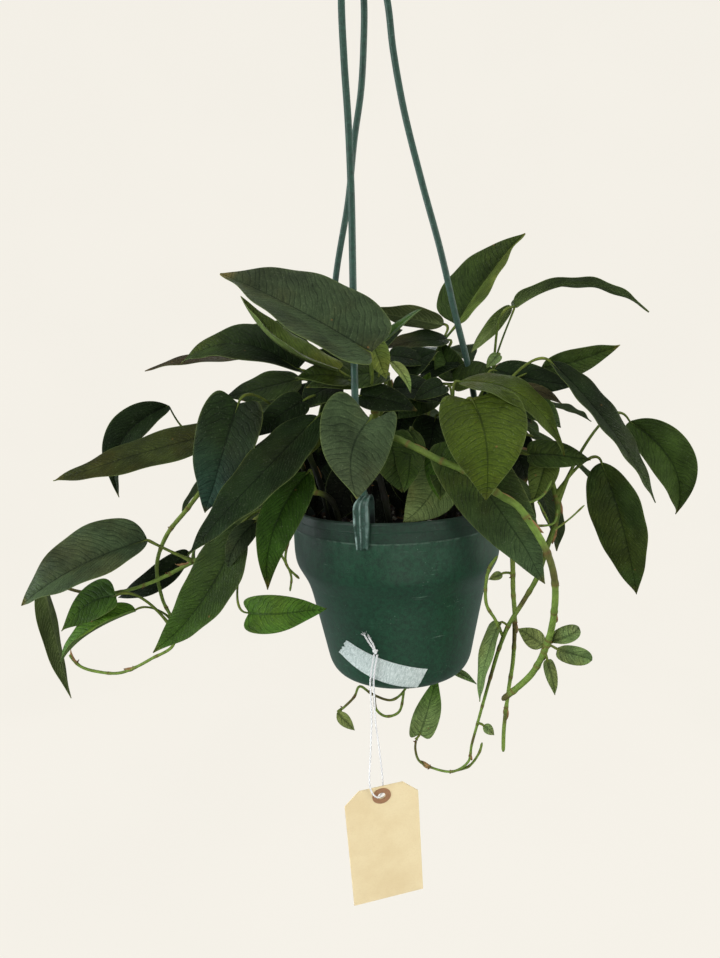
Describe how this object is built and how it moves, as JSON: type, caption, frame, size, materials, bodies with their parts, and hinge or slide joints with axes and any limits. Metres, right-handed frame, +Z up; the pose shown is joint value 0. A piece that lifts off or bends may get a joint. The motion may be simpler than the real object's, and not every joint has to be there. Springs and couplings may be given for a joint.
{
  "type": "potted trailing pothos in a hanging basket",
  "caption": "Trailing blue-green pothos in a round plastic hanging basket, with a clip-on three-strand hanger, a hook above and a blank tag on a string below.",
  "frame": {"origin": "inside top of the hook's crook, where it bears on what the basket hangs from", "axes": "+Z up, -Y towards the front, where the tag hangs, +X to the right seen from the front"},
  "size_m": [0.4584, 0.2826, 0.7685],
  "materials": {
    "pot_plastic": "satin, lightly scuffed",
    "hanger_plastic": "satin",
    "soil": "loose and matte",
    "foliage": "waxy, with a silvery sheen",
    "tape": "crepe, translucent",
    "string": "twisted cotton",
    "tag_card": "matte manila",
    "patch_fibre": "matte fibre"
  },
  "bodies": {
    "root": {"pot": "pot_plastic", "soil": "soil", "hanger_hook": "hanger_plastic", "hanger_strand_front": "hanger_plastic", "hanger_strand_right": "hanger_plastic", "hanger_strand_back": "hanger_plastic", "stem_crown": "foliage", "stem_heart": "foliage", "stem_fill": "foliage", "vine_front": "foliage", "stem_right_front": "foliage", "stem_right_mid": "foliage", "stem_right_top": "foliage", "stem_right_arch": "foliage", "vine_right": "foliage", "vine_cut": "foliage", "stem_left_mid": "foliage", "stem_left_top": "foliage", "vine_left_low": "foliage", "vine_left_loop": "foliage", "stem_top": "foliage", "stem_back_left": "foliage", "stem_back_centre": "foliage", "stem_back_right": "foliage", "stem_side_right": "foliage", "stem_side_left": "foliage", "vine_back": "foliage", "tape": "tape", "string": "string", "string_knot": "string", "tag": "tag_card", "tag_patch_front": "patch_fibre", "tag_patch_back": "patch_fibre"}
  },
  "joints": []
}
